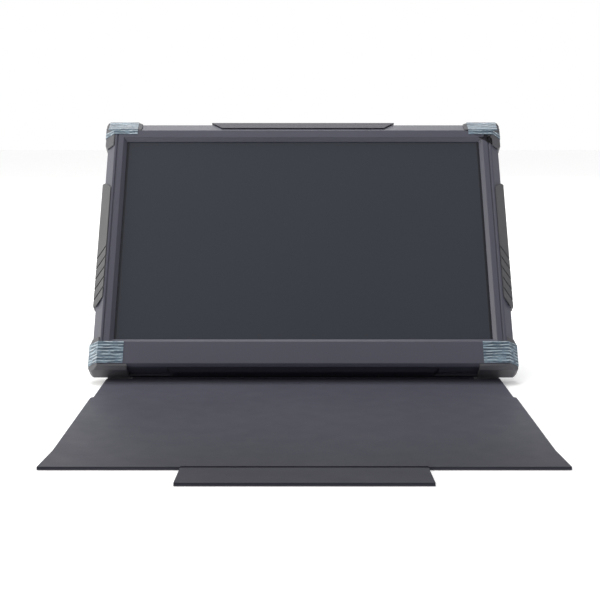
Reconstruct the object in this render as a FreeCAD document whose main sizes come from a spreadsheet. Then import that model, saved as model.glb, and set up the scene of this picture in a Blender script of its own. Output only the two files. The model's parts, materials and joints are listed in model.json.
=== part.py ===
import FreeCAD, Part
import math
import os
import Sketcher

# A pen display in a rugged frame, standing on its rear leg with its folding cover laid out in front.
# Millimetres and degrees. +X is to the right, +Y goes back from the user, +Z is up.
# The origin is on the desk, in the middle of the ground that the whole object covers.
#
# Three working frames are used, each with its own placement:
#   tablet frame  X across, Y into the tablet from its front face, Z up along the screen
#   stand frame   origin on the leg's hinge pin, with the leg hanging down -Z
#   cover frame   origin on the desk under the cover's rear hinge line, cover running down -Y

os.makedirs("parts", exist_ok=True)
doc = FreeCAD.newDocument("pen_display")
sheet = doc.addObject("Spreadsheet::Sheet", "dims")

DIMENSIONS = [
    # screen opening and the front frame around it
    ("opening_width", 350.0), ("opening_height", 214.0), ("opening_bottom", 31.0),
    ("bevel", 3.6), ("lip", 4.0), ("side_face", 8.4), ("top_face", 7.9),
    ("side_chamfer", 8.0), ("side_chamfer_depth", 9.0), ("top_chamfer", 11.5), ("top_chamfer_depth", 8.0),
    ("bottom_chamfer", 2.5), ("frame_bottom", 3.0), ("corner_cut", 8.0),
    ("front_depth", 12.0), ("full_depth", 27.0), ("seam", 0.15),
    ("reveal_width", 1.2), ("reveal_depth", 0.8), ("reveal_inset", 2.2),
    # rear cover
    ("rear_chamfer", 6.0), ("rear_wall", 2.4), ("border", 14.0),
    # display stack
    ("glass_thickness", 1.1), ("lcd_thickness", 1.8), ("backlight_thickness", 2.4),
    ("sensor_thickness", 0.8), ("shield_thickness", 0.6), ("stack_gap", 0.1),
    ("glass_overlap", 3.0), ("cavity_margin", 4.0),
    # frame screws
    ("screw_inset", 8.0), ("screw_radius", 1.3), ("screw_head_radius", 2.9), ("screw_head_depth", 1.4),
    ("screw_clearance", 0.3), ("screw_bottom_y", 5.0),
    # wall-mount inserts
    ("mount_spacing", 75.0), ("mount_height", 201.0), ("insert_radius", 3.0), ("insert_bore", 2.0),
    ("boss_radius", 5.5), ("boss_depth", 5.0),
    # vents, sockets and keys in the rear cover
    ("vent_width", 2.6), ("vent_height", 26.0), ("vent_pitch", 7.5), ("vent_start", 66.0),
    ("vent_bottom", 206.0), ("socket_height", 96.0), ("socket_gap", 0.3),
    ("board_front", 14.0), ("board_thickness", 1.6),
    ("key_x", -150.0), ("key_height", 90.0), ("key_pitch", 16.0), ("key_radius", 3.4),
    ("key_clearance", 0.2), ("key_stand", 1.4), ("key_travel", 0.8), ("key_flange", 1.0),
    ("key_flange_gap", 1.0), ("key_flange_radius", 4.6), ("switch_gap", 0.1),
    # corner guards, films, grips and rails
    ("guard_out", 2.7), ("guard_rise", 3.0), ("guard_inner", 161.0), ("guard_leg", 32.0),
    ("guard_notch", 4.5), ("guard_corner", 3.5), ("guard_front_chamfer", 9.0), ("guard_rear_chamfer", 4.0),
    ("guard_depth", 26.0), ("guard_fit", 0.1), ("guard_lip", 1.2),
    ("film_thickness", 0.3), ("film_gap", 0.05), ("film_inner", 165.0), ("film_wrap", 16.0),
    ("film_bottom", 6.0), ("film_top", 27.4), ("film_drop", 19.0), ("film_side_drop", 6.5),
    ("grip_bottom", 66.0), ("grip_top", 198.5), ("grip_out", 2.4), ("grip_base_out", 1.4),
    ("grip_slant", 9.0), ("grip_rear", 21.0), ("grip_pitch", 10.9), ("grip_slit", 1.5), ("grip_count", 5.0),
    ("rail_half", 92.0), ("rail_slant", 5.0), ("rail_front", 8.4), ("rail_rear", 20.5),
    ("rail_taper", 11.0), ("rail_start", 3.5), ("rail_proud", 1.5),
    ("low_rail_half", 125.0), ("low_rail_front", 3.0), ("low_rail_slope", 5.0), ("low_rail_rear", 16.8),
    ("rail_fit", 0.05),
    ("magnet_radius", 4.5), ("magnet_thickness", 1.0), ("magnet_pitch", 42.0),
    # stand
    ("lean", 34.2), ("splay", 26.0), ("stand_height", 160.0), ("axis_offset", 4.1),
    ("leg_width", 172.0), ("leg_thickness", 2.4), ("barrel_radius", 3.2), ("pin_radius", 1.5),
    ("pin_clearance", 0.05), ("bracket_width", 9.0), ("bracket_radius", 4.0), ("bracket_gap", 0.4),
    ("foot_radius", 3.0), ("leg_notch_width", 46.0), ("leg_notch_height", 9.0),
    # cover
    ("hinge_depth", 22.0), ("cover_gap", 0.5), ("cover_front_gap", 1.2), ("cover_over", 3.2),
    ("cover_width", 369.0), ("flare", 3.0), ("flare_length", 42.0),
    ("rear_step", 2.4), ("rear_step_length", 52.0), ("skin_thickness", 0.6), ("stiffener_thickness", 1.2),
    ("lining_thickness", 0.6), ("crease", 1.6), ("seam_width", 5.0), ("stiffener_gap", 0.1),
    ("tab_width", 174.0), ("tab_length", 36.0), ("tab_slant", 1.0), ("tab_root", 16.0),
    ("root_thickness", 0.5), ("clamp_half", 160.8), ("clamp_front", 17.4), ("clamp_rear", 22.4),
    ("clamp_lift", 0.4), ("clamp_screw_radius", 1.0), ("clamp_pitch", 70.0), ("clamp_screw_length", 6.0),
    # corner feet
    ("foot_inner", 159.0), ("foot_outer", 181.5), ("foot_front", 0.4), ("foot_rear", 8.0),
    ("foot_tall", 9.0),
]
for row, (alias, number) in enumerate(DIMENSIONS, 1):
    sheet.set("A%d" % row, alias)
    sheet.set("B%d" % row, str(number))
    sheet.setAlias("B%d" % row, alias)
doc.recompute()

# Derived lengths, written once as expressions on the sheet.
FACE_HALF = "(dims.opening_width / 2 + dims.bevel + dims.side_face)"
HALF = "(%s + dims.side_chamfer)" % FACE_HALF
FACE_TOP = "(dims.opening_bottom + dims.opening_height + dims.bevel + dims.top_face)"
TOP = "(%s + dims.top_chamfer)" % FACE_TOP
GUARD_TOP = "(%s + dims.guard_rise)" % TOP
GUARD_HALF = "(%s + dims.guard_out)" % HALF
REAR_FRONT = "(dims.front_depth + dims.seam)"
REAR_INSIDE = "(dims.full_depth - dims.rear_wall)"
COVER_THICK = "(dims.skin_thickness + dims.stiffener_thickness + dims.lining_thickness)"
AXIS_Y = "(dims.full_depth + dims.axis_offset)"
AXIS_RISE = ("(%s + dims.cover_gap + dims.stand_height * cos(dims.lean)"
             " - (%s - dims.hinge_depth) * sin(dims.lean))") % (COVER_THICK, AXIS_Y)
AXIS_BACK = "((%s - dims.hinge_depth) * cos(dims.lean) + dims.stand_height * sin(dims.lean))" % AXIS_Y
LEG = "((%s - dims.foot_radius) / cos(dims.splay))" % AXIS_RISE
STAND_REACH = "(%s + %s * sin(dims.splay) + dims.foot_radius)" % (AXIS_BACK, LEG)
SPINE = "(dims.hinge_depth + dims.cover_front_gap)"
PANEL = "(%s + dims.cover_gap + dims.cover_over)" % FACE_TOP
COVER_REACH = "(%s + %s + dims.tab_length)" % (SPINE, PANEL)
HINGE_Y = "((%s - %s) / 2)" % (COVER_REACH, STAND_REACH)

TABLET_FRAME = ("placement(vector(0; %s - dims.hinge_depth * cos(dims.lean);"
                " %s + dims.cover_gap + dims.hinge_depth * sin(dims.lean));"
                " rotation(vector(1; 0; 0); -dims.lean))") % (HINGE_Y, COVER_THICK)
STAND_FRAME = ("placement(vector(0; %s + %s; %s); rotation(vector(1; 0; 0); dims.splay))"
               % (HINGE_Y, AXIS_BACK, AXIS_RISE))
COVER_FRAME = "placement(vector(0; %s; 0); rotation(vector(1; 0; 0); 0))" % HINGE_Y

nodes = []


def neg(expression):
    return "-(%s)" % expression


def plus(first, second):
    return "(%s) + (%s)" % (first, second)


def minus(first, second):
    return "(%s) - (%s)" % (first, second)


def keep(obj, label, frame):
    """Names a finished sub-part, puts it in its working frame and lists it for export."""
    obj.Label = label
    obj.setExpression("Placement", frame)
    nodes.append(obj)
    return obj


def new_body(name):
    return doc.addObject("PartDesign::Body", name)


def sketch_on(body, role, offset=None):
    """An empty sketch on one of the body's own origin planes, moved along its normal by offset."""
    sketch = body.newObject("Sketcher::SketchObject", body.Name + "_sketch")
    plane = [item for item in body.Origin.OriginFeatures if item.Role == role][0]
    sketch.AttachmentSupport = [(plane, "")]
    sketch.MapMode = "FlatFace"
    if offset:
        sketch.setExpression("AttachmentOffset.Base.z", offset)
    return sketch


def locate(sketch, geometry, point, across, up):
    """Ties one point of a sketch to the sketch's origin by two expressions."""
    for kind, expression in (("DistanceX", across), ("DistanceY", up)):
        number = sketch.addConstraint(Sketcher.Constraint(kind, -1, 1, geometry, point, 1.0))
        sketch.setExpression("Constraints[%d]" % number, expression)


def draw_loop(sketch, corners):
    """A closed outline with straight sides through the given corners."""
    count = len(corners)
    first = sketch.GeometryCount
    turn = [2 * math.pi * number / count for number in range(count)]
    start = [FreeCAD.Vector(math.cos(angle), math.sin(angle), 0) for angle in turn]
    for number in range(count):
        sketch.addGeometry(Part.LineSegment(start[number], start[(number + 1) % count]), False)
    for number in range(count):
        following = first + (number + 1) % count
        sketch.addConstraint(Sketcher.Constraint("Coincident", first + number, 2, following, 1))
    for number, (across, up) in enumerate(corners):
        locate(sketch, first + number, 1, across, up)


def draw_circle(sketch, across, up, radius):
    circle = Part.Circle(FreeCAD.Vector(0, 0, 0), FreeCAD.Vector(0, 0, 1), 1.0)
    number = sketch.addGeometry(circle, False)
    constraint = sketch.addConstraint(Sketcher.Constraint("Radius", number, 1.0))
    sketch.setExpression("Constraints[%d]" % constraint, radius)
    locate(sketch, number, 3, across, up)


def rectangle(x0, x1, y0, y1):
    return [(x0, y0), (x1, y0), (x1, y1), (x0, y1)]


def pad(body, sketch, length, reverse=False):
    feature = body.newObject("PartDesign::Pad", body.Name + "_pad")
    feature.Profile = sketch
    feature.Reversed = reverse
    feature.setExpression("Length", length)
    return feature


def pocket(body, sketch, length=None, reverse=False):
    """Cuts a sketch out of the body: to a depth, or both ways through all of it."""
    feature = body.newObject("PartDesign::Pocket", body.Name + "_pocket")
    feature.Profile = sketch
    feature.Reversed = reverse
    if length:
        feature.setExpression("Length", length)
    else:
        feature.Type = "ThroughAll"
        feature.SideType = "Symmetric"
    return feature


def box(name, x0, x1, y0, y1, z0, z1):
    """A box between two corners, each side an expression."""
    item = doc.addObject("Part::Box", name)
    sides = (("Length", "x", x0, x1), ("Width", "y", y0, y1), ("Height", "z", z0, z1))
    for side, axis, low, high in sides:
        item.setExpression(side, minus(high, low))
        item.setExpression("Placement.Base." + axis, low)
    return item


def rod(name, radius, length, x, y, z, direction):
    """A cylinder that starts at a point and runs along +X, +Y or +Z."""
    item = doc.addObject("Part::Cylinder", name)
    item.setExpression("Radius", radius)
    item.setExpression("Height", length)
    turns = {"x": (0, 1, 0, 90), "y": (1, 0, 0, -90), "z": (0, 0, 1, 0)}
    a, b, c, angle = turns[direction]
    item.Placement.Rotation = FreeCAD.Rotation(FreeCAD.Vector(a, b, c), angle)
    for axis, value in (("x", x), ("y", y), ("z", z)):
        item.setExpression("Placement.Base." + axis, value)
    return item


def fuse(name, items):
    joined = doc.addObject("Part::MultiFuse", name)
    joined.Shapes = items
    return joined


def group(name, items):
    """Separate solids of one kind, kept together as one sub-part."""
    bundle = doc.addObject("Part::Compound", name)
    bundle.Links = items
    return bundle


def cut(name, base, tool):
    result = doc.addObject("Part::Cut", name)
    result.Base = base
    result.Tool = tool
    return result


def mirrored(name, source):
    """The left-hand twin of a right-hand piece."""
    twin = doc.addObject("Part::Mirroring", name)
    twin.Source = source
    twin.Normal = (1, 0, 0)
    return twin


# --- housing outline, shared by the front frame, the rear cover and the guards' fit

def housing_outline(grow):
    half = plus(HALF, grow)
    low = minus("dims.frame_bottom", grow)
    high = plus(TOP, grow)
    inner_half = minus(half, "dims.corner_cut")
    above_low = plus(low, "dims.corner_cut")
    below_high = minus(high, "dims.corner_cut")
    return [(neg(inner_half), low), (inner_half, low), (half, above_low), (half, below_high),
            (inner_half, high), (neg(inner_half), high), (neg(half), below_high), (neg(half), above_low)]


def side_bevel(side, half, front, inward, depth, away):
    """A wedge outside one side wall, which narrows the housing by inward at its front or rear face."""
    def across(value):
        return value if side > 0 else neg(value)
    outside = plus(half, "5")
    beyond = "%s %s 5" % (front, away)
    inner = minus(half, inward)
    return [(across(inner), front), (across(inner), beyond), (across(outside), beyond),
            (across(outside), depth), (across(half), depth)]


def end_bevel(high, edge, front, inward, depth, away):
    """A wedge beyond the top or bottom wall, drawn on the plane across X."""
    outward = "+" if high else "-"
    back_in = "-" if high else "+"
    beyond = "%s %s 5" % (front, away)
    inner = "%s %s %s" % (edge, back_in, inward)
    outside = "%s %s 5" % (edge, outward)
    return [(front, inner), (beyond, inner), (beyond, outside), (depth, outside), (depth, edge)]


def bevel_front(body, grow):
    half = plus(HALF, grow)
    front = neg(grow)
    sides = sketch_on(body, "XY_Plane")
    for side in (1, -1):
        depth = "dims.side_chamfer_depth - %s" % grow
        draw_loop(sides, side_bevel(side, half, front, "dims.side_chamfer", depth, "-"))
    pocket(body, sides)
    ends = sketch_on(body, "YZ_Plane")
    high = plus(TOP, grow)
    low = minus("dims.frame_bottom", grow)
    draw_loop(ends, end_bevel(True, high, front, "dims.top_chamfer",
                              "dims.top_chamfer_depth - %s" % grow, "-"))
    draw_loop(ends, end_bevel(False, low, front, "dims.bottom_chamfer",
                              "dims.bottom_chamfer - %s" % grow, "-"))
    pocket(body, ends)


def bevel_rear(body, grow):
    half = plus(HALF, grow)
    rear = "dims.full_depth + %s" % grow
    start = "dims.full_depth - dims.rear_chamfer + %s" % grow
    sides = sketch_on(body, "XY_Plane")
    for side in (1, -1):
        draw_loop(sides, side_bevel(side, half, rear, "dims.rear_chamfer", start, "+"))
    pocket(body, sides)
    ends = sketch_on(body, "YZ_Plane")
    draw_loop(ends, end_bevel(True, plus(TOP, grow), rear, "dims.rear_chamfer", start, "+"))
    draw_loop(ends, end_bevel(False, minus("dims.frame_bottom", grow), rear, "dims.rear_chamfer",
                              start, "+"))
    pocket(body, ends)


def opening_loop(margin):
    half = "dims.opening_width / 2 + %s" % margin
    low = "dims.opening_bottom - %s" % margin
    high = "dims.opening_bottom + dims.opening_height + %s" % margin
    return rectangle(neg(half), half, low, high)


# Places of the frame screws: three down each side, two at the top and two at the bottom.
SCREW_X = minus(HALF, "dims.screw_inset")
SCREW_TOP = minus(TOP, "dims.screw_inset")
SCREW_LOW = "dims.frame_bottom + dims.screw_inset"
SCREW_MID = "(%s + %s) / 2" % (SCREW_TOP, SCREW_LOW)
SCREW_PLACES = [(SCREW_X, "dims.guard_leg + 8"), (SCREW_X, SCREW_MID),
                (SCREW_X, minus(GUARD_TOP, "dims.guard_leg + 8")),
                ("dims.opening_width / 6", SCREW_TOP), ("dims.opening_width / 3", SCREW_LOW)]
SCREW_PLACES += [(neg(across), up) for across, up in SCREW_PLACES]


def front_frame():
    """The moulded front frame: bevelled window, chamfered edges, blind screw holes at the back."""
    body = new_body("front_frame")
    outline = sketch_on(body, "XZ_Plane")
    draw_loop(outline, housing_outline("0"))
    pad(body, outline, "dims.front_depth", reverse=True)
    bevel_front(body, "0")
    cavity = sketch_on(body, "XZ_Plane", "-dims.lip")
    draw_loop(cavity, opening_loop("dims.cavity_margin"))
    pocket(body, cavity, "dims.front_depth")
    window = sketch_on(body, "XZ_Plane")
    draw_loop(window, opening_loop("0"))
    cut_window = pocket(body, window)
    reveal = sketch_on(body, "XY_Plane")
    outer = minus(FACE_HALF, "dims.reveal_inset")
    inner = minus(outer, "dims.reveal_width")
    draw_loop(reveal, rectangle(inner, outer, "-5", "dims.reveal_depth"))
    draw_loop(reveal, rectangle(neg(outer), neg(inner), "-5", "dims.reveal_depth"))
    cut_reveal = pocket(body, reveal)
    holes = sketch_on(body, "XZ_Plane", "-dims.screw_bottom_y")
    for across, up in SCREW_PLACES:
        draw_circle(holes, across, up, "dims.screw_radius")
    last = pocket(body, holes, "dims.front_depth")
    doc.recompute()
    check_cut(cut_window, cut_reveal)
    bevel = body.newObject("PartDesign::Chamfer", "window_bevel")
    bevel.Base = (last, window_edges(last.Shape))
    bevel.setExpression("Size", "dims.bevel")
    return keep(body, "front_frame", TABLET_FRAME)


def check_cut(before, after):
    """Stops if a cut took nothing away."""
    if after.Shape.Volume >= before.Shape.Volume:
        raise RuntimeError(after.Label + " removed nothing")


def window_edges(shape):
    """Names of the four edges of the window on the front face."""
    half = sheet.get("opening_width") / 2 + 0.01
    found = []
    for number, edge in enumerate(shape.Edges, 1):
        limits = edge.BoundBox
        on_front = abs(limits.YMin) < 0.001 and abs(limits.YMax) < 0.001
        in_middle = limits.XMin > -half and limits.XMax < half
        inside = limits.ZMin > sheet.get("opening_bottom") - 0.01
        below = limits.ZMax < sheet.get("opening_bottom") + sheet.get("opening_height") + 0.01
        if on_front and in_middle and inside and below:
            found.append("Edge%d" % number)
    return found


def display_stack():
    """Glass, panel, backlight, pen sensor and shield, one behind another in the frame's cavity."""
    layers = [("cover_glass", "dims.glass_thickness", "dims.glass_overlap"),
              ("lcd_panel", "dims.lcd_thickness", "1"),
              ("backlight_unit", "dims.backlight_thickness", "1.5"),
              ("pen_sensor_board", "dims.sensor_thickness", "2"),
              ("shield_plate", "dims.shield_thickness", "2.5")]
    front = "dims.lip + dims.seam"
    for label, thickness, margin in layers:
        body = new_body(label)
        outline = sketch_on(body, "XZ_Plane", neg(front))
        draw_loop(outline, opening_loop(margin))
        pad(body, outline, thickness, reverse=True)
        keep(body, label, TABLET_FRAME)
        front = "%s + %s + dims.stack_gap" % (front, thickness)


def mount_places():
    reach = "dims.mount_spacing / 2"
    return [("%s%s" % (a, reach), "dims.mount_height %s %s" % (b, reach)) for a in ("-", "") for b in "+-"]


KEY_NAMES = ["power_key", "brightness_up_key", "brightness_down_key"]
KEY_PLACES = [("dims.key_x", "dims.key_height + %d * dims.key_pitch" % number) for number in range(3)]

# Sockets on the rear face: name, place across, half width, half height.
SOCKETS = [("video_socket", "162", "7.5", "2.8"), ("usb_socket_upper", "141", "4.6", "1.75"),
           ("usb_socket_lower", "122", "4.6", "1.75")]
AUDIO_X = "106"
AUDIO_RADIUS = "3"


def rear_cover():
    """The rear shell: a tray with bosses, vents, socket windows, key holes and sunk screw seats."""
    body = new_body("rear_cover")
    outline = sketch_on(body, "XZ_Plane", neg(REAR_FRONT))
    draw_loop(outline, housing_outline("0"))
    pad(body, outline, minus("dims.full_depth", REAR_FRONT), reverse=True)
    bevel_rear(body, "0")
    hollow = sketch_on(body, "XZ_Plane", neg(REAR_INSIDE))
    half = minus(HALF, "dims.border")
    draw_loop(hollow, rectangle(neg(half), half, "dims.frame_bottom + dims.border",
                                minus(TOP, "dims.border")))
    pocket(body, hollow, "dims.full_depth", reverse=True)
    bosses = sketch_on(body, "XZ_Plane", neg(REAR_INSIDE))
    for across, up in mount_places():
        draw_circle(bosses, across, up, "dims.boss_radius")
    last = pad(body, bosses, "dims.boss_depth")
    seats = sketch_on(body, "XZ_Plane", "-(dims.full_depth - dims.screw_head_depth)")
    for across, up in SCREW_PLACES:
        draw_circle(seats, across, up, "dims.screw_head_radius + dims.screw_clearance")
    seat_cut = pocket(body, seats, "dims.full_depth")
    openings = sketch_on(body, "XZ_Plane")
    for across, up in SCREW_PLACES:
        draw_circle(openings, across, up, "dims.screw_radius + dims.screw_clearance")
    for across, up in mount_places():
        draw_circle(openings, across, up, "dims.insert_radius")
    for across, up in KEY_PLACES:
        draw_circle(openings, across, up, "dims.key_radius + dims.key_clearance")
    for name, across, half_width, half_height in SOCKETS:
        grown_width = half_width + " + dims.socket_gap"
        grown_height = half_height + " + dims.socket_gap"
        draw_loop(openings, rectangle(minus(across, grown_width), plus(across, grown_width),
                                      minus("dims.socket_height", grown_height),
                                      plus("dims.socket_height", grown_height)))
    draw_circle(openings, AUDIO_X, "dims.socket_height", AUDIO_RADIUS + " + dims.socket_gap")
    for number in range(11):
        for side in ("", "-"):
            left = "%s(dims.vent_start + %d * dims.vent_pitch)" % (side, number)
            right = "%s(dims.vent_start + %d * dims.vent_pitch + dims.vent_width)" % (side, number)
            draw_loop(openings, rectangle(left, right, "dims.vent_bottom",
                                          "dims.vent_bottom + dims.vent_height"))
    pocket(body, openings)
    clamp_holes = sketch_on(body, "XY_Plane", "dims.frame_bottom")
    for across in clamp_places():
        draw_circle(clamp_holes, across, "(dims.clamp_front + dims.clamp_rear) / 2",
                    "dims.clamp_screw_radius + dims.rail_fit")
    pocket(body, clamp_holes, "dims.clamp_screw_length", reverse=True)
    doc.recompute()
    check_cut(last, seat_cut)
    return keep(body, "rear_cover", TABLET_FRAME)


def clamp_places():
    return ["%d * dims.clamp_pitch" % number for number in range(-2, 3)]


def frame_screws():
    """Ten screws from the rear cover into the front frame."""
    solids = []
    for number, (across, up) in enumerate(SCREW_PLACES):
        shank_length = "dims.full_depth - dims.screw_head_depth - dims.screw_bottom_y"
        shank = rod("shank%d" % number, "dims.screw_radius", shank_length,
                    across, "dims.screw_bottom_y", up, "y")
        head = rod("head%d" % number, "dims.screw_head_radius", "dims.screw_head_depth - 0.2",
                   across, "dims.full_depth - dims.screw_head_depth", up, "y")
        solids.append(fuse("screw%d" % number, [shank, head]))
    keep(group("frame_screw_group", solids), "frame_screws", TABLET_FRAME)


def mount_inserts():
    """Four threaded brass inserts for a wall or arm mount."""
    solids = []
    for number, (across, up) in enumerate(mount_places()):
        length = "dims.rear_wall + dims.boss_depth"
        front = "dims.full_depth - (%s)" % length
        outer = rod("insert%d" % number, "dims.insert_radius", length, across, front, up, "y")
        bore = rod("bore%d" % number, "dims.insert_bore", length, across, front, up, "y")
        solids.append(cut("insert_ring%d" % number, outer, bore))
    keep(group("insert_group", solids), "mount_inserts", TABLET_FRAME)


# --- electronics in the rear cover

BOARD_BACK = "(dims.board_front + dims.board_thickness)"


def circuit_boards():
    main = box("main_board_box", "60", "173", "dims.board_front", BOARD_BACK, "58", "150")
    keep(group("main_board_solid", [main]), "main_board", TABLET_FRAME)
    key_board_front = "%s - dims.key_flange_gap - dims.key_flange - dims.key_travel - 4.2" % REAR_INSIDE
    board = box("key_board_box", "dims.key_x - 7", "dims.key_x + 7", key_board_front,
                "%s + dims.board_thickness" % key_board_front,
                "dims.key_height - 8", "dims.key_height + 2 * dims.key_pitch + 8")
    keep(group("key_board_solid", [board]), "key_board", TABLET_FRAME)
    key_front = "%s - dims.key_flange_gap - dims.key_flange" % REAR_INSIDE
    switches = []
    for number, (across, up) in enumerate(KEY_PLACES):
        switches.append(box("switch%d" % number, across + " - 2.5", across + " + 2.5",
                            "%s + dims.board_thickness" % key_board_front,
                            "%s - dims.key_travel - dims.switch_gap" % key_front, up + " - 2.5", up + " + 2.5"))
    keep(group("switch_group", switches), "key_switches", TABLET_FRAME)


def keys():
    """Three round push keys, each with a flange behind the wall that keeps it in."""
    for label, (across, up) in zip(KEY_NAMES, KEY_PLACES):
        flange_front = "%s - dims.key_flange_gap - dims.key_flange" % REAR_INSIDE
        stem_length = "dims.full_depth + dims.key_stand - (%s)" % flange_front
        stem = rod(label + "_stem", "dims.key_radius", stem_length, across, flange_front, up, "y")
        flange = rod(label + "_flange", "dims.key_flange_radius", "dims.key_flange",
                     across, flange_front, up, "y")
        keep(fuse(label + "_solid", [stem, flange]), label, TABLET_FRAME)


def sockets():
    """Upright sockets on the main board, their mouths level with the rear face."""
    mouth = "dims.full_depth - 0.4"
    for label, across, half_width, half_height in SOCKETS:
        x0, x1 = minus(across, half_width), plus(across, half_width)
        z0, z1 = minus("dims.socket_height", half_height), plus("dims.socket_height", half_height)
        shell = box(label + "_shell", x0, x1, BOARD_BACK, mouth, z0, z1)
        hollow = box(label + "_hollow", x0 + " + 0.5", x1 + " - 0.5", BOARD_BACK + " + 2", mouth + " + 1",
                     z0 + " + 0.5", z1 + " - 0.5")
        tongue = box(label + "_tongue", x0 + " + 1.4", x1 + " - 1.4", BOARD_BACK + " + 1", mouth + " - 1",
                     "dims.socket_height - 0.35", "dims.socket_height + 0.35")
        solid = fuse(label + "_solid", [cut(label + "_can", shell, hollow), tongue])
        keep(solid, label, TABLET_FRAME)
    barrel = rod("audio_barrel", AUDIO_RADIUS, "%s - (%s)" % (mouth, BOARD_BACK), AUDIO_X, BOARD_BACK,
                 "dims.socket_height", "y")
    bore = rod("audio_bore", "1.75", "dims.full_depth", AUDIO_X, BOARD_BACK + " + 1",
               "dims.socket_height", "y")
    keep(cut("audio_solid", barrel, bore), "audio_socket", TABLET_FRAME)


# --- corner guards and the film stuck on them

def envelope():
    """The housing's outside, a little larger, which the guards are cut to fit."""
    body = new_body("housing_envelope")
    outline = sketch_on(body, "XZ_Plane", "dims.guard_fit")
    draw_loop(outline, housing_outline("dims.guard_fit"))
    pad(body, outline, "dims.full_depth + 2 * dims.guard_fit", reverse=True)
    bevel_front(body, "dims.guard_fit")
    bevel_rear(body, "dims.guard_fit")
    return body


def guard_outline(top):
    """The right-hand guard seen from the front. An upper guard is slanted at its inner end."""
    def up(value):
        return minus(GUARD_TOP, value) if top else value
    outer = GUARD_HALF
    inner = "dims.guard_inner + dims.guard_notch" if top else "dims.guard_inner"
    return [("dims.guard_inner", up("dims.guard_leg")), (HALF, up("dims.guard_leg")),
            (outer, up("dims.guard_leg - dims.guard_notch")), (outer, up("dims.guard_corner")),
            (minus(outer, "dims.guard_corner"), up("0")),
            (inner, up("0")), ("dims.guard_inner", up("dims.guard_rise"))]


def guard_block(name, top):
    """The guard before it is fitted, with chamfers along its outer front and rear edges."""
    body = new_body(name)
    outline = sketch_on(body, "XZ_Plane")
    draw_loop(outline, guard_outline(top))
    pad(body, outline, "dims.guard_depth", reverse=True)
    edges = (("0", "dims.guard_front_chamfer", "dims.guard_front_chamfer", "-"),
             ("dims.guard_depth", "dims.guard_rear_chamfer",
              "dims.guard_depth - dims.guard_rear_chamfer", "+"))
    for face, size, depth, away in edges:
        side = sketch_on(body, "XY_Plane")
        draw_loop(side, side_bevel(1, GUARD_HALF, face, size, depth, away))
        pocket(body, side)
        end = sketch_on(body, "YZ_Plane")
        edge = GUARD_TOP if top else "0"
        inward, reach = size, depth
        if face == "0":
            inward = "(dims.top_chamfer + dims.guard_rise - dims.guard_lip)" if top else "dims.guard_rise"
            reach = "dims.top_chamfer_depth" if top else "dims.guard_rise"
        draw_loop(end, end_bevel(top, edge, face, inward, reach, away))
        pocket(body, end)
    return body


def corner_guards():
    fitting = envelope()
    for place, top in (("top", True), ("bottom", False)):
        block = guard_block("guard_block_" + place, top)
        right = cut("guard_cut_" + place, block, fitting)
        left = mirrored("guard_mirror_" + place, right)
        keep(group("guard_solid_" + place, [right]), "corner_guard_%s_right" % place, TABLET_FRAME)
        keep(left, "corner_guard_%s_left" % place, TABLET_FRAME)


def film_profile():
    """Section of a bottom film: flat on the chin, over the guard's chamfer and round to its side."""
    gap, thick = "dims.film_gap", "dims.film_thickness"
    bend = minus(GUARD_HALF, "dims.guard_front_chamfer")
    side = plus(GUARD_HALF, gap)
    near, far = neg(gap), "-(%s + %s)" % (gap, thick)
    return [("dims.film_inner", far), (plus(bend, thick + " / 2"), far),
            (plus(side, thick), "dims.guard_front_chamfer - %s / 2" % thick),
            (plus(side, thick), "dims.film_wrap"), (side, "dims.film_wrap"),
            (side, "dims.guard_front_chamfer"), (bend, near), ("dims.film_inner", near)]


def corner_films():
    """Clear film stuck round each corner: it has to be peeled off the guards."""
    low = new_body("film_low")
    section = sketch_on(low, "XY_Plane", "dims.film_bottom")
    draw_loop(section, film_profile())
    pad(low, section, "dims.film_top - dims.film_bottom")
    flat = new_body("film_flat")
    upper = sketch_on(flat, "XY_Plane", minus(GUARD_TOP, "dims.film_drop"))
    draw_loop(upper, film_profile())
    edge = "%s + dims.guard_lip" % FACE_TOP
    pad(flat, upper, minus(edge, minus(GUARD_TOP, "dims.film_drop")))
    slope = new_body("film_slope")
    section = sketch_on(slope, "YZ_Plane", "dims.film_inner")
    near, far = "-dims.film_gap", "-(dims.film_gap + dims.film_thickness)"
    draw_loop(section, [(near, edge + " - 1"), (far, edge + " - 1"), (far, edge),
                        ("dims.top_chamfer_depth + " + far, GUARD_TOP),
                        ("dims.top_chamfer_depth + " + near, GUARD_TOP), (near, edge)])
    pad(slope, section, "%s - dims.guard_corner - dims.film_inner" % GUARD_HALF)
    side = box("film_side", plus(GUARD_HALF, "dims.film_gap"),
               plus(GUARD_HALF, "dims.film_gap + dims.film_thickness"), "dims.guard_front_chamfer + 0.3",
               "dims.film_wrap", edge + " - 1", minus(GUARD_TOP, "dims.film_side_drop"))
    high = fuse("film_high", [flat, slope, side])
    for place, source in (("bottom", low), ("top", high)):
        left = mirrored("film_mirror_" + place, source)
        keep(group("film_solid_" + place, [source]), "corner_film_%s_right" % place, TABLET_FRAME)
        keep(left, "corner_film_%s_left" % place, TABLET_FRAME)


# --- side grips and rails

def grip_section(out):
    """A pad over the side chamfer and the side wall, standing out by the given amount."""
    slope = "(dims.side_chamfer_depth / dims.side_chamfer)"
    start = "0.4"
    gap = "dims.rail_fit"
    return [(plus(FACE_HALF, start + " + " + gap), "%s * %s" % (start, slope)),
            (plus(HALF, gap), "dims.side_chamfer_depth"), (plus(HALF, gap), "dims.grip_rear"),
            (plus(HALF, out), "dims.grip_rear - " + out),
            (plus(HALF, out), "dims.side_chamfer_depth - %s / 2" % out),
            (plus(FACE_HALF, start + " + %s * 0.3" % out), "%s * %s - %s * 0.27" % (start, slope, out))]


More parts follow.
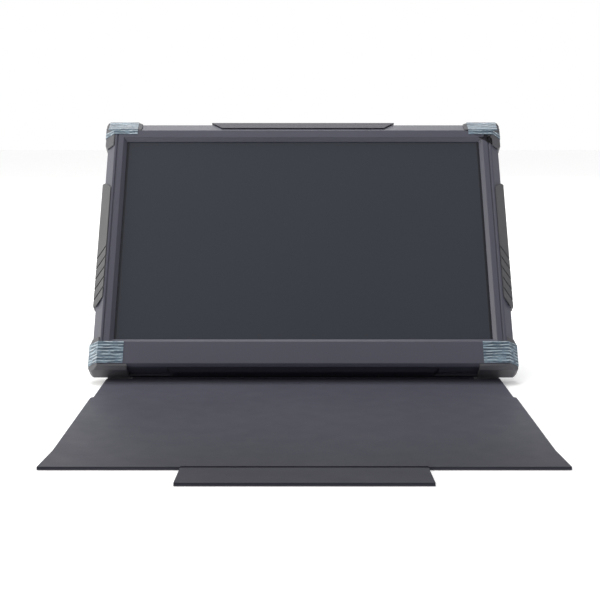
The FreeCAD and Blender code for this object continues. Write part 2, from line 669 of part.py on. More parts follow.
def grip_cutters(body):
    """Slants both ends of a grip, seen from the front."""
    inner, outer = minus(FACE_HALF, "1"), plus(GUARD_HALF, "2")
    ends = sketch_on(body, "XZ_Plane")
    run = "(dims.side_chamfer + dims.guard_out + 3)"
    rise = "(dims.grip_slant * %s / dims.side_chamfer)" % run
    draw_loop(ends, [(inner, "dims.grip_top + 1"), (inner, "dims.grip_top - dims.grip_slant"),
                     (outer, "dims.grip_top - dims.grip_slant + " + rise)])
    draw_loop(ends, [(inner, "dims.grip_bottom - 1"), (inner, "dims.grip_bottom + dims.grip_slant"),
                     (outer, "dims.grip_bottom + dims.grip_slant - " + rise)])
    pocket(body, ends)


def grip_slits(body):
    """Slanted slits through the raised layer, in the lower half of a grip."""
    inner, outer = minus(FACE_HALF, "1"), plus(GUARD_HALF, "2")
    run = "(dims.side_chamfer + dims.guard_out + 3)"
    rise = "(dims.grip_slant * %s / dims.side_chamfer)" % run
    slits = sketch_on(body, "XZ_Plane")
    for number in range(1, int(sheet.get("grip_count")) + 1):
        low = "dims.grip_bottom + dims.grip_slant + %d * dims.grip_pitch" % number
        draw_loop(slits, [(inner, low), (outer, "%s - %s" % (low, rise)),
                          (outer, "%s - %s - dims.grip_slit" % (low, rise)),
                          (inner, low + " - dims.grip_slit")])
    pocket(body, slits)


def side_grips():
    layers = []
    for name, out in (("grip_base", "dims.grip_base_out"), ("grip_raised", "dims.grip_out")):
        body = new_body(name)
        section = sketch_on(body, "XY_Plane", "dims.grip_bottom")
        draw_loop(section, grip_section(out))
        pad(body, section, "dims.grip_top - dims.grip_bottom")
        grip_cutters(body)
        layers.append(body)
    grip_slits(layers[1])
    right = fuse("grip_solid", layers)
    left = mirrored("grip_mirror", right)
    keep(group("grip_right", [right]), "side_grip_right", TABLET_FRAME)
    keep(left, "side_grip_left", TABLET_FRAME)


def magnet_places():
    return ["%s * dims.magnet_pitch" % number for number in ("-1.5", "-0.5", "0.5", "1.5")]


def rails():
    """The raised rail on top, which the cover's tab closes on, and the rail along the bottom."""
    top = new_body("top_rail_body")
    low, high = plus(TOP, "dims.rail_fit"), GUARD_TOP
    start = "%s + dims.rail_start" % FACE_TOP
    on_slope = "dims.rail_start * dims.top_chamfer_depth / dims.top_chamfer"
    section = sketch_on(top, "YZ_Plane", "-dims.rail_half")
    draw_loop(section, [(on_slope + " - dims.rail_fit", start), (on_slope + " - dims.rail_proud", start),
                        ("dims.rail_front", high), ("dims.rail_rear", high), ("dims.rail_rear", low),
                        ("dims.top_chamfer_depth - dims.rail_fit", low)])
    pad(top, section, "2 * dims.rail_half")
    ends = sketch_on(top, "XZ_Plane")
    for side in ("", "-"):
        draw_loop(ends, [(side + "dims.rail_half", high), (side + "(dims.rail_half + 5)", high),
                         (side + "(dims.rail_half + 5)", start),
                         (side + "(dims.rail_half - dims.rail_taper)", start)])
    pocket(top, ends)
    magnets, seats = [], []
    for number, across in enumerate(magnet_places()):
        middle = "(dims.rail_front + dims.rail_rear) / 2"
        magnets.append(rod("rail_magnet%d" % number, "dims.magnet_radius", "dims.magnet_thickness",
                           across, middle, low + " + 0.1", "z"))
        seats.append(rod("rail_seat%d" % number, "dims.magnet_radius + 0.1",
                         "dims.magnet_thickness + 0.3", across, middle, low, "z"))
    keep(cut("top_rail_solid", top, group("rail_seats", seats)), "top_rail", TABLET_FRAME)
    keep(group("rail_magnet_group", magnets), "rail_magnets", TABLET_FRAME)
    bottom = new_body("bottom_rail_body")
    shape = sketch_on(bottom, "XZ_Plane", "-dims.low_rail_front")
    high = "dims.frame_bottom - dims.rail_fit"
    draw_loop(shape, [("-dims.low_rail_half", high), ("dims.low_rail_half", high),
                      ("dims.low_rail_half - dims.rail_slant", "0"),
                      ("-(dims.low_rail_half - dims.rail_slant)", "0")])
    pad(bottom, shape, "dims.low_rail_rear - dims.low_rail_front", reverse=True)
    slope = sketch_on(bottom, "YZ_Plane")
    front = "dims.low_rail_front"
    draw_loop(slope, [(front + " - 1", "-1"), (front + " + dims.low_rail_slope", "-1"),
                      (front + " + dims.low_rail_slope", "0"), (front, high), (front + " - 1", high)])
    pocket(bottom, slope)
    keep(bottom, "bottom_rail", TABLET_FRAME)


def corner_feet():
    """Rubber feet under the lower guards, with a flat sole on the desk and a top cut to the guard."""
    for side, label in ((1, "right"), (-1, "left")):
        low, high = "dims.foot_inner", "dims.foot_outer"
        if side < 0:
            low, high = neg(high), neg(low)
        block = box("foot_block_" + label, low, high, "dims.foot_front", "dims.foot_rear", "0",
                    "dims.foot_tall")
        profile = new_body("foot_limit_" + label)
        outline = sketch_on(profile, "YZ_Plane", low)
        draw_loop(outline, foot_limit())
        pad(profile, outline, minus(high, low))
        keep(cut("foot_" + label, block, profile), "corner_foot_" + label, COVER_FRAME)


def foot_limit():
    """The space taken by a lower guard above a foot, drawn on the plane across X in the cover frame."""
    gap = "%s + dims.cover_gap" % COVER_THICK
    reach = "20"
    lift = "(%s - 0.05)" % gap
    return [("0", lift), ("-%s * cos(dims.lean)" % reach, "%s + %s * sin(dims.lean)" % (lift, reach)),
            ("-%s * cos(dims.lean)" % reach, "%s + 60" % lift), (reach, "%s + 60" % lift),
            (reach, "%s + %s * tan(45 - dims.lean)" % (lift, reach))]


# --- stand

def stand():
    """A flat steel leg on a hinge pin between two brackets, with a rubber foot along its end."""
    half = "dims.leg_width / 2"
    bracket_start = "%s + dims.bracket_gap" % half
    for side, label in ((1, "right"), (-1, "left")):
        start = bracket_start if side > 0 else neg("%s + dims.bracket_width" % bracket_start)
        end = "%s + dims.bracket_width" % start
        cheek = box("cheek_" + label, start, end, "dims.full_depth + 0.05", AXIS_Y,
                    "dims.stand_height - dims.bracket_radius", "dims.stand_height + dims.bracket_radius")
        nose = rod("nose_" + label, "dims.bracket_radius", "dims.bracket_width", start, AXIS_Y,
                   "dims.stand_height", "x")
        bore = rod("cheek_bore_" + label, "dims.pin_radius", "dims.bracket_width", start, AXIS_Y,
                   "dims.stand_height", "x")
        solid = cut("bracket_solid_" + label, fuse("bracket_block_" + label, [cheek, nose]), bore)
        keep(solid, "stand_bracket_" + label, TABLET_FRAME)
    pin_reach = "%s + dims.bracket_width" % bracket_start
    pin = rod("pin_rod", "dims.pin_radius", "2 * (%s)" % pin_reach, neg(pin_reach), AXIS_Y,
              "dims.stand_height", "x")
    keep(group("pin_solid", [pin]), "stand_pin", TABLET_FRAME)

    plate = new_body("leg_plate")
    outline = sketch_on(plate, "XZ_Plane", "-dims.leg_thickness / 2")
    notch = "dims.leg_notch_width / 2"
    foot = neg(LEG)
    draw_loop(outline, [(neg(half), "0"), (neg(half), foot), (neg(notch), foot),
                        ("-(%s - 6)" % notch, foot + " + dims.leg_notch_height"),
                        ("%s - 6" % notch, foot + " + dims.leg_notch_height"),
                        (notch, foot), (half, foot), (half, "0")])
    pad(plate, outline, "dims.leg_thickness")
    barrel = rod("leg_barrel", "dims.barrel_radius", "dims.leg_width", neg(half), "0", "0", "x")
    bore = rod("leg_bore", "dims.pin_radius + dims.pin_clearance", "dims.leg_width + 4",
               neg(half + " + 2"), "0", "0", "x")
    leg = cut("leg_solid", fuse("leg_blank", [plate, barrel]), bore)
    keep(leg, "stand_leg", STAND_FRAME)
    pads, slots = [], []
    for side in ("", "-"):
        left = notch if side == "" else neg(half)
        pads.append(rod("foot_rod" + side, "dims.foot_radius", "%s - %s" % (half, notch),
                        left, "0", foot, "x"))
    slots = box("foot_slot", neg(half + " + 1"), half + " + 1", "-dims.leg_thickness / 2",
                "dims.leg_thickness / 2", foot, foot + " + 2 * dims.foot_radius")
    feet = [cut("foot_pad%d" % number, item, slots) for number, item in enumerate(pads)]
    keep(group("stand_foot_group", feet), "stand_feet", STAND_FRAME)


# --- folding cover

def cover_layers(label, outline, inset_outline):
    """One stiff leaf of the cover: a skin that turns up round its stiffener, and a lining on top."""
    skin = new_body(label + "_skin_body")
    shape = sketch_on(skin, "XY_Plane")
    draw_loop(shape, outline)
    full = pad(skin, shape, "dims.skin_thickness + dims.stiffener_thickness")
    tray = sketch_on(skin, "XY_Plane", "dims.skin_thickness")
    draw_loop(tray, inset_outline("0"))
    recess = pocket(skin, tray, "5", reverse=True)
    doc.recompute()
    check_cut(full, recess)
    keep(skin, label + "_skin", COVER_FRAME)
    board = new_body(label + "_board_body")
    shape = sketch_on(board, "XY_Plane", "dims.skin_thickness")
    draw_loop(shape, inset_outline("dims.stiffener_gap"))
    pad(board, shape, "dims.stiffener_thickness - 0.05")
    lining = new_body(label + "_lining_body")
    shape = sketch_on(lining, "XY_Plane", "dims.skin_thickness + dims.stiffener_thickness")
    draw_loop(shape, outline)
    pad(lining, shape, "dims.lining_thickness")
    keep(lining, label + "_lining", COVER_FRAME)
    return board


def leaf(half, rear, front):
    def inset(extra):
        rim = "(dims.seam_width + %s)" % extra
        return rectangle("-(%s - %s)" % (half, rim), "%s - %s" % (half, rim),
                         "%s + %s" % (front, rim), "%s - %s" % (rear, rim))
    return rectangle(neg(half), half, front, rear), inset


def cover():
    half = "dims.cover_width / 2"
    gap = "dims.crease / 2"
    fold = neg(SPINE)
    tip = "-(%s + %s)" % (SPINE, PANEL)
    outline, inset = leaf(half + " - dims.rear_step", neg(gap), "%s + %s" % (fold, gap))
    keep(cover_layers("cover_spine", outline, inset), "cover_spine_board", COVER_FRAME)
    rear, front = "%s - %s" % (fold, gap), "%s + %s" % (tip, gap)
    outline, inset = leaf(half, rear, front)
    flared = half + " + dims.flare"
    narrow = half + " - dims.rear_step"
    flare_end, step = front + " + dims.flare_length", rear + " - dims.rear_step_length"
    right = [(flared, front), (half, flare_end), (half, step), (narrow, step + " + dims.rear_step"),
             (narrow, rear)]
    outline = right + [(neg(across), along) for across, along in reversed(right)]
    keep(cover_layers("cover_panel", outline, inset), "cover_panel_board", COVER_FRAME)

    tab_half = "dims.tab_width / 2"
    start, end = "%s - %s" % (tip, gap), "%s - dims.tab_length" % tip
    wide = tab_half + " + dims.tab_slant"
    outline = [(neg(wide), end), (wide, end), (tab_half, start), (neg(tab_half), start)]

    def inset_tab(extra):
        rim = "(dims.seam_width + %s)" % extra
        return [("-(%s - %s)" % (wide, rim), "%s + %s" % (end, rim)),
                ("%s - %s" % (wide, rim), "%s + %s" % (end, rim)),
                ("%s - %s" % (tab_half, rim), "%s - %s" % (start, rim)),
                ("-(%s - %s)" % (tab_half, rim), "%s - %s" % (start, rim))]
    board = cover_layers("cover_tab", outline, inset_tab)
    middle = "%s - (dims.rail_front + dims.rail_rear) / 2 - dims.cover_front_gap" % tip
    magnets, seats = [], []
    for number, across in enumerate(magnet_places()):
        magnets.append(rod("tab_magnet%d" % number, "dims.magnet_radius", "dims.magnet_thickness",
                           across, middle, "dims.skin_thickness + 0.1", "z"))
        seats.append(rod("tab_seat%d" % number, "dims.magnet_radius + 0.1", "5",
                         across, middle, "0", "z"))
    keep(cut("tab_board_solid", board, group("tab_seats", seats)), "cover_tab_board", COVER_FRAME)
    keep(group("tab_magnet_group", magnets), "tab_magnets", COVER_FRAME)
    strip = box("root_strip", neg(tab_half), tab_half, "%s + %s" % (tip, gap),
                "%s + dims.tab_root" % tip, COVER_THICK, "%s + dims.root_thickness" % COVER_THICK)
    keep(group("root_strip_solid", [strip]), "tab_root_strip", COVER_FRAME)


def cover_clamp():
    """A bar screwed up under the rear of the housing, which holds the cover's inner edge."""
    bar = box("clamp_bar_box", "-dims.clamp_half", "dims.clamp_half", "dims.clamp_front",
              "dims.clamp_rear", "dims.clamp_lift", "dims.frame_bottom - dims.rail_fit")
    screws, holes = [], []
    for number, across in enumerate(clamp_places()):
        middle = "(dims.clamp_front + dims.clamp_rear) / 2"
        screws.append(rod("clamp_screw%d" % number, "dims.clamp_screw_radius",
                          "dims.frame_bottom - dims.clamp_lift + dims.clamp_screw_length - 1", across,
                          middle, "dims.clamp_lift + 0.1", "z"))
        holes.append(rod("clamp_hole%d" % number, "dims.clamp_screw_radius + dims.rail_fit",
                         "dims.frame_bottom", across, middle, "0", "z"))
    keep(cut("clamp_solid", bar, group("clamp_holes", holes)), "cover_clamp_bar", TABLET_FRAME)
    keep(group("clamp_screw_group", screws), "clamp_screws", TABLET_FRAME)


front_frame()
display_stack()
rear_cover()
frame_screws()
mount_inserts()
circuit_boards()
keys()
sockets()
corner_guards()
corner_films()
side_grips()
rails()
corner_feet()
stand()
cover()
cover_clamp()
doc.recompute()

for item in doc.Objects:
    if "Invalid" in item.State or "Error" in item.State:
        raise RuntimeError("%s did not recompute: %s" % (item.Name, item.State))
for node in nodes:
    if node.Shape.isNull() or not node.Shape.isValid():
        raise RuntimeError("%s has no valid shape" % node.Label)
for node in nodes:
    node.Shape.exportStep("parts/%s.step" % node.Label)
    print("%-26s %9.0f mm3  %d solid(s)" % (node.Label, node.Shape.Volume, len(node.Shape.Solids)))
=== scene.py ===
import json
import math

import bpy
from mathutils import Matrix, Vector


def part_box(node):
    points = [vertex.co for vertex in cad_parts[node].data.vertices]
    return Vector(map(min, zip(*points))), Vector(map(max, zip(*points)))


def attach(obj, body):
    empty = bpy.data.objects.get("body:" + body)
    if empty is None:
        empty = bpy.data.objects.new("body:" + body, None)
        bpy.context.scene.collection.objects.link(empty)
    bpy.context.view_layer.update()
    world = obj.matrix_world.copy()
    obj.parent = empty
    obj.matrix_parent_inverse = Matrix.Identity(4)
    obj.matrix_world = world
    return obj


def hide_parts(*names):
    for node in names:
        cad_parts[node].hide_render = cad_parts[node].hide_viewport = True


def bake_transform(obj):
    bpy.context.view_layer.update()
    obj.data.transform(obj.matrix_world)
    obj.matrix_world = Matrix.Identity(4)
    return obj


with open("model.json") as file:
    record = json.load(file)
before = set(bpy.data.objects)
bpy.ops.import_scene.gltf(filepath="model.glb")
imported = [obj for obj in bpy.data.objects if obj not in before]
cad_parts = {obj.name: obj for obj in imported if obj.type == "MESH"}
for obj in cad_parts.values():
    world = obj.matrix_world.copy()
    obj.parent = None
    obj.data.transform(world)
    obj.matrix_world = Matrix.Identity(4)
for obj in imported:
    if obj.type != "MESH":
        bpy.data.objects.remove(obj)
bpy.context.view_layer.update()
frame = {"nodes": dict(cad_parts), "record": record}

# ---------------------------------------------------------------------------------------------
# Front frame. The real one is a single injection moulding in dark grey ABS with a fine spark
# texture. Its edges are eased in the mould, and a bevel runs round the window.

LEAN = math.radians(34.2)
FRAME_GREY = (80, 80, 94)
BODIES = frame["record"]["behaviour"]["bodies"]
BODY_OF = {node: body for body, group in BODIES.items() for node in group}
SAME_POINT = 0.000002
FLAT_ANGLE = math.radians(0.5)
SHARP_ANGLE = math.radians(28)
SMOOTH_ANGLE = math.radians(35)


def tone(red, green, blue):
    """A screen colour, 0 to 255, as the linear colour that a shader takes."""
    parts = [channel / 255 for channel in (red, green, blue)]
    return [((part + 0.055) / 1.055) ** 2.4 if part > 0.04 else part / 12.92 for part in parts] + [1.0]


class Amount:
    """A number that varies over a surface. Ordinary sums on it add the Math nodes."""

    def __init__(self, finish, socket):
        self.finish = finish
        self.socket = socket

    def math(self, operation, *others):
        values = dict(enumerate((self,) + others))
        node = self.finish.add("ShaderNodeMath", {"operation": operation}, values)
        return Amount(self.finish, node.outputs[0])

    def __add__(self, other):
        return self.math("ADD", other)

    def __mul__(self, other):
        return self.math("MULTIPLY", other)

    def __truediv__(self, other):
        return self.math("DIVIDE", other)

    __radd__ = __add__
    __rmul__ = __mul__

    def between(self, low, high):
        """0 below low, 1 above high, and straight in between."""
        settings = {"clamp": True}
        node = self.finish.add("ShaderNodeMapRange", settings, {0: self, 1: low, 2: high})
        return Amount(self.finish, node.outputs[0])


class Finish:
    """One material: a Principled shader with whatever varies over the surface put before it."""

    def __init__(self, name, rough, metal=0.0, gloss=0.5, coat=0.0):
        self.material = bpy.data.materials.new(name)
        self.material.use_nodes = True
        self.tree = self.material.node_tree
        self.shader = self.tree.nodes["Principled BSDF"]
        self.shader.inputs["Roughness"].default_value = rough
        self.shader.inputs["Metallic"].default_value = metal
        self.shader.inputs["Specular IOR Level"].default_value = gloss
        self.shader.inputs["Coat Weight"].default_value = coat

    def add(self, kind, settings, values):
        """Any node: its settings first, then the values or links of its sockets."""
        node = self.tree.nodes.new(kind)
        for name, setting in settings.items():
            setattr(node, name, setting)
        for name, value in values.items():
            if isinstance(value, Amount):
                value = value.socket
            if isinstance(value, bpy.types.NodeSocket):
                self.tree.links.new(value, node.inputs[name])
            else:
                node.inputs[name].default_value = value
        return node

    def place(self, turn=0.0, stretch=(1, 1, 1)):
        """Position on the object, turned about X and stretched."""
        place = self.add("ShaderNodeTexCoord", {}, {}).outputs["Object"]
        values = {"Vector": place, "Rotation": (turn, 0, 0)}
        turned = self.add("ShaderNodeMapping", {}, values).outputs[0]
        return self.add("ShaderNodeMapping", {}, {"Vector": turned, "Scale": stretch}).outputs[0]

    def along(self, axis, turn=0.0):
        """Distance in metres along one axis of the turned object."""
        split = self.add("ShaderNodeSeparateXYZ", {}, {0: self.place(turn)})
        return Amount(self, split.outputs[axis])

    def noise(self, scale, detail=3.0, turn=0.0, stretch=(1, 1, 1)):
        values = {"Vector": self.place(turn, stretch), "Scale": scale, "Detail": detail}
        return Amount(self, self.add("ShaderNodeTexNoise", {}, values).outputs[0])

    def pebbles(self, scale):
        values = {"Vector": self.place(), "Scale": scale}
        return Amount(self, self.add("ShaderNodeTexVoronoi", {}, values).outputs[0])

    def mix(self, amount, first, second):
        """A colour between two, each a colour or a colour socket."""
        values = {0: amount, 6: first, 7: second}
        return self.add("ShaderNodeMix", {"data_type": "RGBA"}, values).outputs[2]

    def colour(self, socket):
        if isinstance(socket, bpy.types.NodeSocket):
            self.tree.links.new(socket, self.shader.inputs["Base Color"])
        else:
            self.shader.inputs["Base Color"].default_value = socket

    def roughness(self, amount):
        self.tree.links.new(amount.socket, self.shader.inputs["Roughness"])

    def relief(self, height, depth, strength=1.0):
        """Fine relief of the given depth in metres."""
        values = {"Height": height, "Distance": depth, "Strength": strength}
        bump = self.add("ShaderNodeBump", {}, values)
        self.tree.links.new(bump.outputs[0], self.shader.inputs["Normal"])


def dress(node, finish):
    """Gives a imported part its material."""
    part = frame["nodes"][node]
    part.data.materials.clear()
    part.data.materials.append(finish.material)


def ease(node, width, finish, steps=2):
    """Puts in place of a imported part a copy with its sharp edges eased, as a mould leaves them."""
    bpy.ops.object.select_all(action="DESELECT")
    source = frame["nodes"][node]
    piece = bpy.data.objects.new(node + "_finished", source.data.copy())
    bpy.context.collection.objects.link(piece)
    piece.select_set(True)
    bpy.context.view_layer.objects.active = piece
    bpy.ops.object.mode_set(mode="EDIT")
    bpy.ops.mesh.select_all(action="SELECT")
    bpy.ops.mesh.remove_doubles(threshold=SAME_POINT)
    bpy.ops.mesh.dissolve_limited(angle_limit=FLAT_ANGLE)
    bpy.ops.object.mode_set(mode="OBJECT")
    edge = piece.modifiers.new("edge", "BEVEL")
    edge.width = width
    edge.segments = steps
    edge.limit_method = "ANGLE"
    edge.angle_limit = SHARP_ANGLE
    edge.use_clamp_overlap = False
    bpy.ops.object.modifier_apply(modifier="edge")
    bpy.ops.object.shade_smooth_by_angle(angle=SMOOTH_ANGLE)
    flats = piece.modifiers.new("flats", "WEIGHTED_NORMAL")
    flats.keep_sharp = True
    flats.weight = 100
    bpy.ops.object.modifier_apply(modifier="flats")
    piece.data.materials.clear()
    piece.data.materials.append(finish.material)
    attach(piece, BODY_OF[node])
    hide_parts(node)


moulded = Finish("moulded_grey", 0.5)
drift = moulded.noise(7.0, 2.0)
speck = moulded.noise(1900.0, 2.0)
moulded.colour(moulded.mix(drift, tone(*FRAME_GREY), tone(74, 74, 88)))
moulded.roughness(0.34 + 0.16 * speck)
moulded.relief(speck, 0.00006, 0.5)
ease("front_frame", 0.0005, moulded)

# ---------------------------------------------------------------------------------------------
# Screen. Behind the glass are the panel, its backlight, the pen sensor board and a steel shield.
# The glass is dark when off, with a printed black border just inside the window.

glass = Finish("screen_glass", 0.14)
across = glass.along(0).math("ABSOLUTE")
window_half = 0.175
border = across.between(window_half - 0.0022, window_half - 0.0018)
cloud = glass.noise(4.0, 2.0)
panel_tone = glass.mix(cloud, tone(48, 52, 63), tone(42, 48, 58))
glass.colour(glass.mix(border, panel_tone, tone(12, 16, 26)))
glass.roughness(0.16 + 0.06 * glass.noise(9.0, 3.0))
dress("cover_glass", glass)

panel_black = Finish("panel_black", 0.3)
panel_black.colour(panel_black.mix(panel_black.noise(300.0), tone(20, 20, 24), tone(28, 28, 32)))
for node in ("lcd_panel", "backlight_unit"):
    dress(node, panel_black)

circuit = Finish("circuit_lacquer", 0.35)
tracks = circuit.pebbles(260.0).between(0.35, 0.42)
circuit.colour(circuit.mix(tracks, tone(24, 82, 48), tone(34, 104, 60)))
circuit.relief(tracks, 0.00004)
for node in ("pen_sensor_board", "main_board", "key_board"):
    dress(node, circuit)

sheet_steel = Finish("sheet_steel", 0.38, 1.0)
rolled = sheet_steel.noise(60.0, 4.0, stretch=(1, 40, 40))
sheet_steel.colour(sheet_steel.mix(rolled, tone(170, 171, 174), tone(190, 191, 194)))
sheet_steel.roughness(0.3 + 0.2 * rolled)
dress("shield_plate", sheet_steel)

# ---------------------------------------------------------------------------------------------
# Rear cover. The real one is a moulded tray in the same plastic, screwed to the front frame from
# behind. It has the vents, openings for the sockets and keys, and bosses for the wall mount.

ease("rear_cover", 0.0005, moulded)

# ---------------------------------------------------------------------------------------------
# Screws. Black-plated steel screws with low heads hold the two mouldings together, and small ones
# hold the clamp bar. Turned brass inserts are pressed into the rear cover for a wall mount.

blacked = Finish("blacked_steel", 0.34, 1.0)
turned = blacked.noise(900.0, 3.0)
blacked.colour(blacked.mix(turned, tone(92, 92, 96), tone(116, 116, 120)))
blacked.roughness(0.28 + 0.2 * turned)
for node in ("clamp_screws", "stand_pin"):
    dress(node, blacked)
ease("frame_screws", 0.0002, blacked)

brass = Finish("turned_brass", 0.3, 1.0)
lathe = brass.noise(1400.0, 2.0)
brass.colour(brass.mix(lathe, tone(190, 158, 92), tone(212, 182, 116)))
brass.relief(lathe, 0.00003)
ease("mount_inserts", 0.0002, brass)

# ---------------------------------------------------------------------------------------------
# Keys and sockets. The three keys are gloss black buttons with rounded rims. The sockets are
# pressed steel cans with a tongue inside, and the round one is a plain plastic barrel.

gloss_black = Finish("gloss_black", 0.22)
gloss_black.colour(gloss_black.mix(gloss_black.noise(500.0), tone(34, 34, 38), tone(40, 40, 45)))
gloss_black.roughness(0.18 + 0.12 * gloss_black.noise(220.0))
for node in ("power_key", "brightness_up_key", "brightness_down_key"):
    ease(node, 0.0005, gloss_black, 3)
dress("key_switches", gloss_black)
ease("audio_socket", 0.0003, gloss_black)

pressed_can = Finish("pressed_can", 0.3, 1.0)
drawn = pressed_can.noise(420.0, 3.0)
pressed_can.colour(pressed_can.mix(drawn, tone(176, 177, 180), tone(200, 201, 204)))
pressed_can.roughness(0.24 + 0.16 * drawn)
for node in ("video_socket", "usb_socket_upper", "usb_socket_lower"):
    ease(node, 0.00015, pressed_can)

# ---------------------------------------------------------------------------------------------
# Corner guards and feet. Firm rubber caps pushed over each corner of the housing, thicker than
# the wall so that they take a knock. Small blocks of the same rubber stand on the desk.

rubber = Finish("guard_rubber", 0.6)
bloom = rubber.noise(26.0, 4.0)
pores = rubber.noise(1500.0, 2.0)
rubber.colour(rubber.mix(bloom, tone(78, 78, 84), tone(88, 88, 93)))
rubber.roughness(0.52 + 0.16 * pores)
rubber.relief(pores, 0.00007, 0.6)
for place in ("top_right", "top_left", "bottom_right", "bottom_left"):
    ease("corner_guard_" + place, 0.0007, rubber, 3)
for node in ("corner_foot_right", "corner_foot_left", "stand_feet"):
    ease(node, 0.0005, rubber)

# ---------------------------------------------------------------------------------------------
# Corner films. Thin clear film, stuck round each corner by hand for the journey. It has pulled
# into level wrinkles; their pale streaks and white crests are painted sheen and highlight, and the
# dark lines between them are painted shade.

film = Finish("clinging_film", 0.2, coat=0.5)
height = film.along(2, LEAN)
sway = film.noise(55.0, 3.0, LEAN, (1, 1, 2.5))
wrinkle_pitch = 0.0031
wrinkle = (height * 2 * math.pi / wrinkle_pitch + 7.0 * sway).math("SINE") * 0.5 + 0.5
streak = film.noise(1.0, 4.0, LEAN, (70, 300, 900))
breaks = film.noise(210.0, 3.0, LEAN, (1, 1, 0.6)).between(0.36, 0.62)
# Pale streaks: painted sheen on the film.
pale = streak.between(0.44, 0.62)
clear = film.mix(pale, tone(62, 84, 102), tone(132, 154, 170))
# Dark lines in the wrinkle troughs are painted shade, and the white crests are painted highlight.
line = wrinkle.between(0.30, 0.10) * breaks
crest_glint = wrinkle.between(0.86, 0.99) * breaks * 0.8
glinted_film = film.mix(crest_glint, clear, tone(222, 232, 238))
film.colour(film.mix(line, glinted_film, tone(38, 52, 66)))
film.roughness(0.18 + 0.3 * streak)
film.relief(wrinkle * 0.7 + streak * 0.6, 0.0002, 0.8)
for place in ("top_right", "top_left", "bottom_right", "bottom_left"):
    ease("corner_film_" + place, 0.00008, film)

# ---------------------------------------------------------------------------------------------
# Side grips and rails. The grips are soft ribbed pads glued over the side slopes. The top rail
# holds the magnets that the cover's tab closes on, and the bottom rail keeps the chin off a desk.

grip = Finish("grip_rubber", 0.66)
grain = grip.noise(1300.0, 2.0)
grip.colour(grip.mix(grip.noise(30.0), tone(84, 84, 88), tone(94, 94, 97)))
grip.relief(grain, 0.00008, 0.7)
for side in ("right", "left"):
    ease("side_grip_" + side, 0.0003, grip)

# The top rail is painted darker than the frame grey, as painted shade on its upward faces.
rail_painted_shade = Finish("top_rail_painted_shade", 0.55)
rail_grain = rail_painted_shade.noise(1900.0, 2.0)
rail_painted_shade.colour(rail_painted_shade.mix(rail_painted_shade.noise(9.0), tone(50, 50, 62), tone(56, 56, 68)))
rail_painted_shade.relief(rail_grain, 0.00006, 0.5)
ease("top_rail", 0.0004, rail_painted_shade, 3)
# The bottom rail is painted near-black as painted shade under the housing; the scuff noise only varies
# that tone a little.
underside_shade = Finish("bottom_rail_painted_shade", 0.6)
scuff = underside_shade.noise(600.0, 3.0)
underside_shade.colour(underside_shade.mix(scuff, tone(34, 34, 46), tone(42, 42, 54)))
underside_shade.relief(scuff, 0.00005, 0.5)
ease("bottom_rail", 0.0006, underside_shade, 3)

plated = Finish("plated_magnet", 0.16, 1.0)
plated.colour(plated.mix(plated.noise(600.0), tone(196, 196, 200), tone(212, 212, 216)))
plated.roughness(0.12 + 0.1 * plated.noise(300.0))
for node in ("rail_magnets", "tab_magnets"):
    dress(node, plated)

# ---------------------------------------------------------------------------------------------
# Stand. A leg of dark anodised sheet hangs on a steel pin between two moulded brackets, and it
# stands on rubber feet at its lower corners.

anodised = Finish("dark_anodised", 0.42, 0.85)
brushed = anodised.noise(90.0, 4.0, stretch=(0.6, 30, 30))
anodised.colour(anodised.mix(brushed, tone(92, 92, 100), tone(108, 108, 116)))
anodised.roughness(0.34 + 0.2 * brushed)
anodised.relief(brushed, 0.00003, 0.4)
ease("stand_leg", 0.0005, anodised)
for node in ("stand_bracket_right", "stand_bracket_left"):
    ease(node, 0.0005, moulded)
# The clamp bar takes the same painted shade of the underside.
ease("cover_clamp_bar", 0.0005, underside_shade)

# ---------------------------------------------------------------------------------------------
# Folding cover. Three stiff leaves of grained leather cloth: an outer skin turned up round a
# plastic board, with a lining glued on top. The cloth is painted darker towards the front, by the tab,
# as painted shade.

cloth = Finish("grained_leather", 0.6, gloss=0.22)
grain = cloth.pebbles(950.0)
crumple = cloth.noise(5.0, 3.0)
shadow = cloth.noise(60.0, 5.0)
# Painted shade: the cloth goes from a dark tone at the front and tab to a lighter tone towards the
# back.
front_shade_blend = cloth.along(1).between(-0.22, 0.06)
dark = cloth.mix(crumple.between(0.35, 0.65), tone(40, 40, 50), tone(46, 46, 56))
light = cloth.mix(crumple.between(0.35, 0.65), tone(74, 74, 86), tone(81, 81, 93))
cloth.colour(cloth.mix(shadow * 0.35, cloth.mix(front_shade_blend, dark, light), tone(50, 50, 62)))
cloth.roughness(0.54 + 0.14 * shadow)
cloth.relief(grain * 0.7 + shadow * 0.5, 0.00012, 0.55)
for leaf in ("spine", "panel", "tab"):
    ease("cover_%s_skin" % leaf, 0.0003, cloth, 3)
    ease("cover_%s_lining" % leaf, 0.00022, cloth, 3)
ease("tab_root_strip", 0.0002, cloth)

board_grey = Finish("plain_board", 0.55)
board_grey.colour(board_grey.mix(board_grey.noise(200.0), tone(120, 120, 120), tone(132, 132, 132)))
for leaf in ("spine", "panel", "tab"):
    dress("cover_%s_board" % leaf, board_grey)

# ---------------------------------------------------------------------------------------------
# Creases. Only the skin runs on between the leaves, so it can fold there. The last one curls up
# behind the clamp bar, which grips it under the housing.

INTO_LEAF = 0.0004
BEND_ANGLE = math.radians(50)


